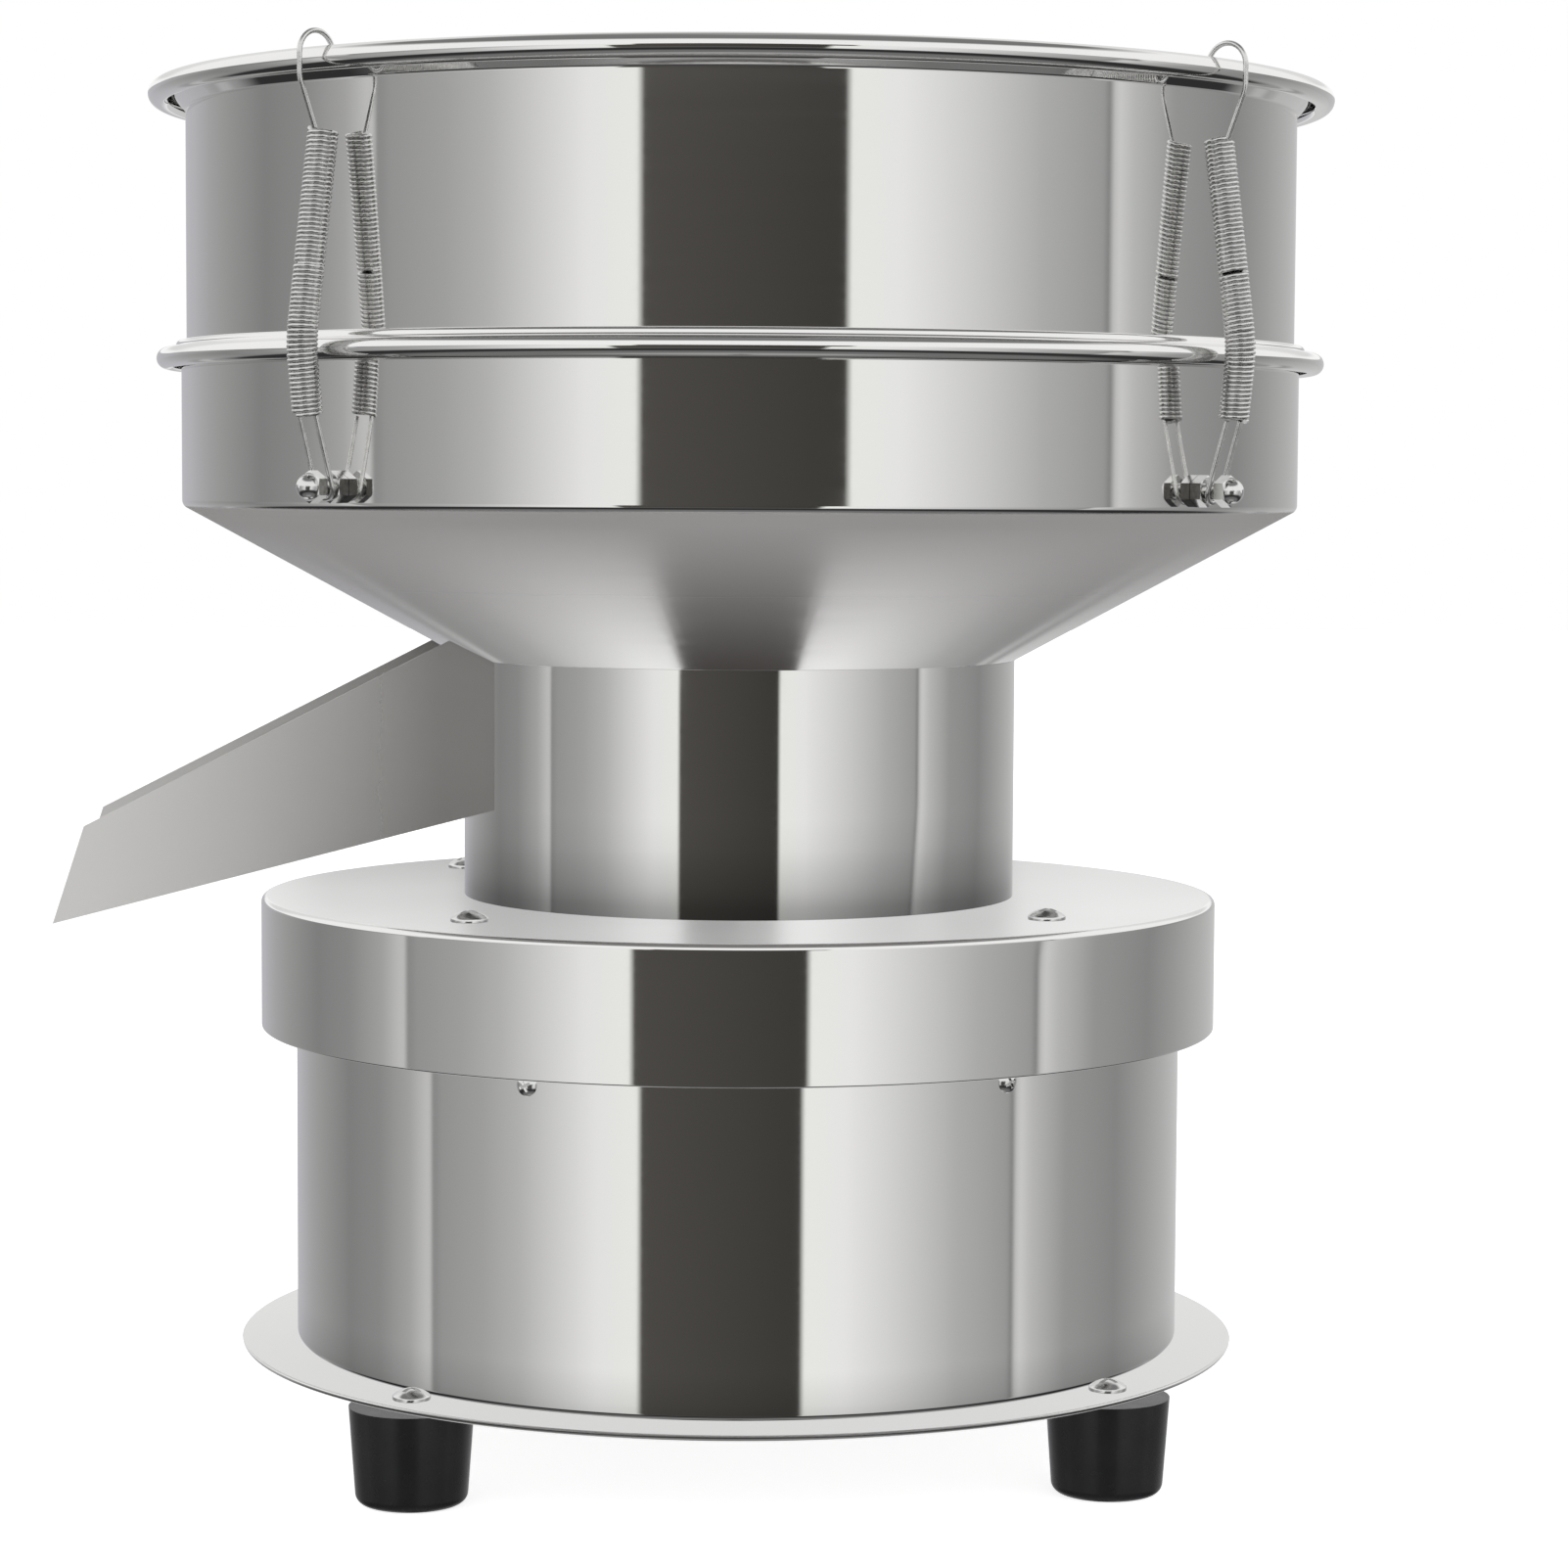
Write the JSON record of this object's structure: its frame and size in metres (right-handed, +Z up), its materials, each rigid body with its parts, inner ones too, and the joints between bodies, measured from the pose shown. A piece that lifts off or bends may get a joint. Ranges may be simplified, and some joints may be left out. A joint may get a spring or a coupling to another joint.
{
  "type": "powder sieving machine",
  "caption": "Bench vibrating powder sieve: round mirror steel drum held by spring latches on a funnel body, neck with side chute, skirted cap over a drum base on rubber feet.",
  "frame": {"origin": "on the floor, midway between the chute's lip and the far side of the drum's rim; the drum's axis is 12.15 mm along +X from it", "axes": "+Z up along the drum's axis, the outlet chute points along -X, the front is -Y"},
  "size_m": [0.3436, 0.3194, 0.3692],
  "materials": {
    "mirror_steel": "mirror polished stainless steel",
    "satin_steel": "satin brushed stainless steel",
    "bright_screws": "bright plated steel",
    "spring_steel": "drawn stainless spring wire",
    "woven_mesh": "woven stainless wire cloth",
    "black_rubber": "satin moulded rubber",
    "white_silicone": "translucent white silicone",
    "motor_casting": "cast aluminium",
    "ground_steel": "ground steel",
    "core_steel": "varnished laminated steel",
    "copper_wire": "enamelled copper wire",
    "black_plastic": "matt moulded nylon",
    "white_plastic": "gloss moulded plastic"
  },
  "bodies": {
    "base": {"rubber_feet": "black_rubber", "foot_screws": "bright_screws", "foot_nuts": "bright_screws", "base_plate": "mirror_steel", "base_housing": "mirror_steel", "spring_shelf": "mirror_steel", "housing_screws": "bright_screws", "spring_cups": "spring_steel", "ride_springs": "spring_steel", "switch_body": "black_plastic", "cable_gland": "black_plastic", "gland_cap": "black_plastic", "gland_nut": "black_plastic", "capacitor": "white_plastic", "capacitor_nut": "bright_screws", "terminal_block": "white_plastic"},
    "deck": {"cap": "mirror_steel", "cap_screws": "bright_screws", "cap_nuts": "bright_screws", "neck": "mirror_steel", "discharge_plate": "mirror_steel", "outlet_chute": "satin_steel", "funnel_body": "mirror_steel", "seat_ring": "mirror_steel", "drum_seal": "white_silicone", "latch_studs": "bright_screws", "latch_nuts": "bright_screws", "acorn_nuts": "bright_screws", "wire_loops": "spring_steel", "lower_coils": "spring_steel", "motor_flange": "motor_casting", "motor_frame": "motor_casting", "motor_end_bell": "motor_casting", "stator_core": "core_steel", "stator_windings": "copper_wire", "motor_bearings": "ground_steel", "motor_bolts": "bright_screws", "motor_nuts": "bright_screws"},
    "rotor": {"rotor_shaft": "ground_steel", "rotor_core": "core_steel", "upper_weight": "ground_steel", "lower_weight": "ground_steel", "weight_bolts": "bright_screws"},
    "sieve": {"sieve_drum": "mirror_steel", "sieve_mesh": "woven_mesh", "clamp_ring": "mirror_steel"},
    "rocker": {"switch_rocker": "black_plastic"},
    "latch_1": {"rim_hook_1": "spring_steel", "upper_coil_1": "spring_steel"},
    "latch_2": {"rim_hook_2": "spring_steel", "upper_coil_2": "spring_steel"},
    "latch_3": {"rim_hook_3": "spring_steel", "upper_coil_3": "spring_steel"},
    "latch_4": {"rim_hook_4": "spring_steel", "upper_coil_4": "spring_steel"}
  },
  "joints": [
    {"name": "deck_bounce", "type": "slide", "parent": "base", "child": "deck", "axis": [0, 0, 1], "range_m": [-0.0025, 0.0025], "stiffness_N_per_m": 16000, "springref_m": 0.00464, "deforming": ["ride_springs"]},
    {"name": "rotor_spin", "type": "hinge", "parent": "deck", "child": "rotor", "pos_m": [0.01215, 0, 0.1075], "axis": [0, 0, 1], "continuous": true},
    {"name": "drum_lift", "type": "slide", "parent": "deck", "child": "sieve", "axis": [0, 0, 1], "range_m": [0, 0.01], "stiffness_N_per_m": 1600, "springref_m": -0.02, "deforming": ["lower_coils"]},
    {"name": "rocker_tilt", "type": "hinge", "parent": "base", "child": "rocker", "pos_m": [0.01215, 0.1185, 0.07], "axis": [-1, 0, 0], "range_deg": [0, 20]},
    {"name": "hook_lift_1", "type": "slide", "parent": "sieve", "child": "latch_1", "axis": [0, 0, 1], "range_m": [0, 0.008], "stiffness_N_per_m": 400, "springref_m": -0.03, "deforming": ["upper_coil_1"]},
    {"name": "hook_lift_2", "type": "slide", "parent": "sieve", "child": "latch_2", "axis": [0, 0, 1], "range_m": [0, 0.008], "stiffness_N_per_m": 400, "springref_m": -0.03, "deforming": ["upper_coil_2"]},
    {"name": "hook_lift_3", "type": "slide", "parent": "sieve", "child": "latch_3", "axis": [0, 0, 1], "range_m": [0, 0.008], "stiffness_N_per_m": 400, "springref_m": -0.03, "deforming": ["upper_coil_3"]},
    {"name": "hook_lift_4", "type": "slide", "parent": "sieve", "child": "latch_4", "axis": [0, 0, 1], "range_m": [0, 0.008], "stiffness_N_per_m": 400, "springref_m": -0.03, "deforming": ["upper_coil_4"]}
  ]
}
